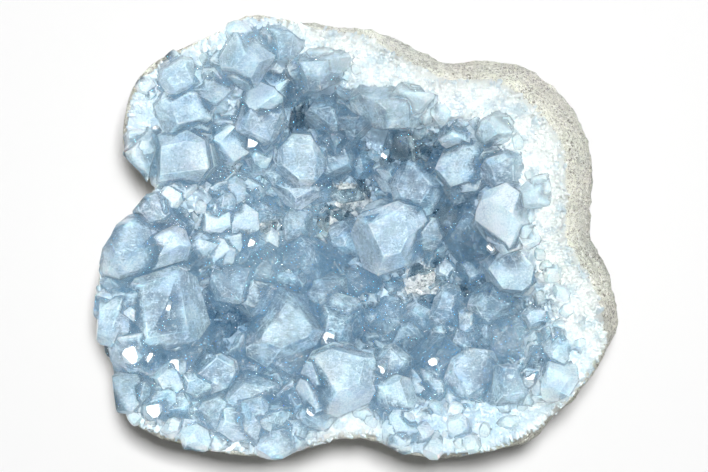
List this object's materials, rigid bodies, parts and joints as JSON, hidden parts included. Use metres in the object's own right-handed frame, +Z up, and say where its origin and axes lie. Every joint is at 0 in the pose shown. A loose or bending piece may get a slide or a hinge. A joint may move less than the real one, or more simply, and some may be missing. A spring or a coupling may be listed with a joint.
{
  "type": "celestite geode",
  "caption": "Half of a lumpy geode lying hollow side up: a sandy grey rind around a crust of packed pale blue celestite crystals, white and massive at the rim.",
  "frame": {"origin": "centre of the flat spot underneath that the geode rests on", "axes": "+Z up out of the hollow, +X along the long side towards the side with the widest bare rock, +Y towards the higher long side"},
  "size_m": [0.1574, 0.1338, 0.0706],
  "materials": {
    "rind": "matt, sandy and granular, grey-beige with dark grains",
    "crystal_crust": "clear to milky pale blue crystals with flat shiny faces, white and sugary towards the rim"
  },
  "bodies": {
    "root": {"rind": "rind", "crystal_crust": "crystal_crust"}
  },
  "joints": []
}
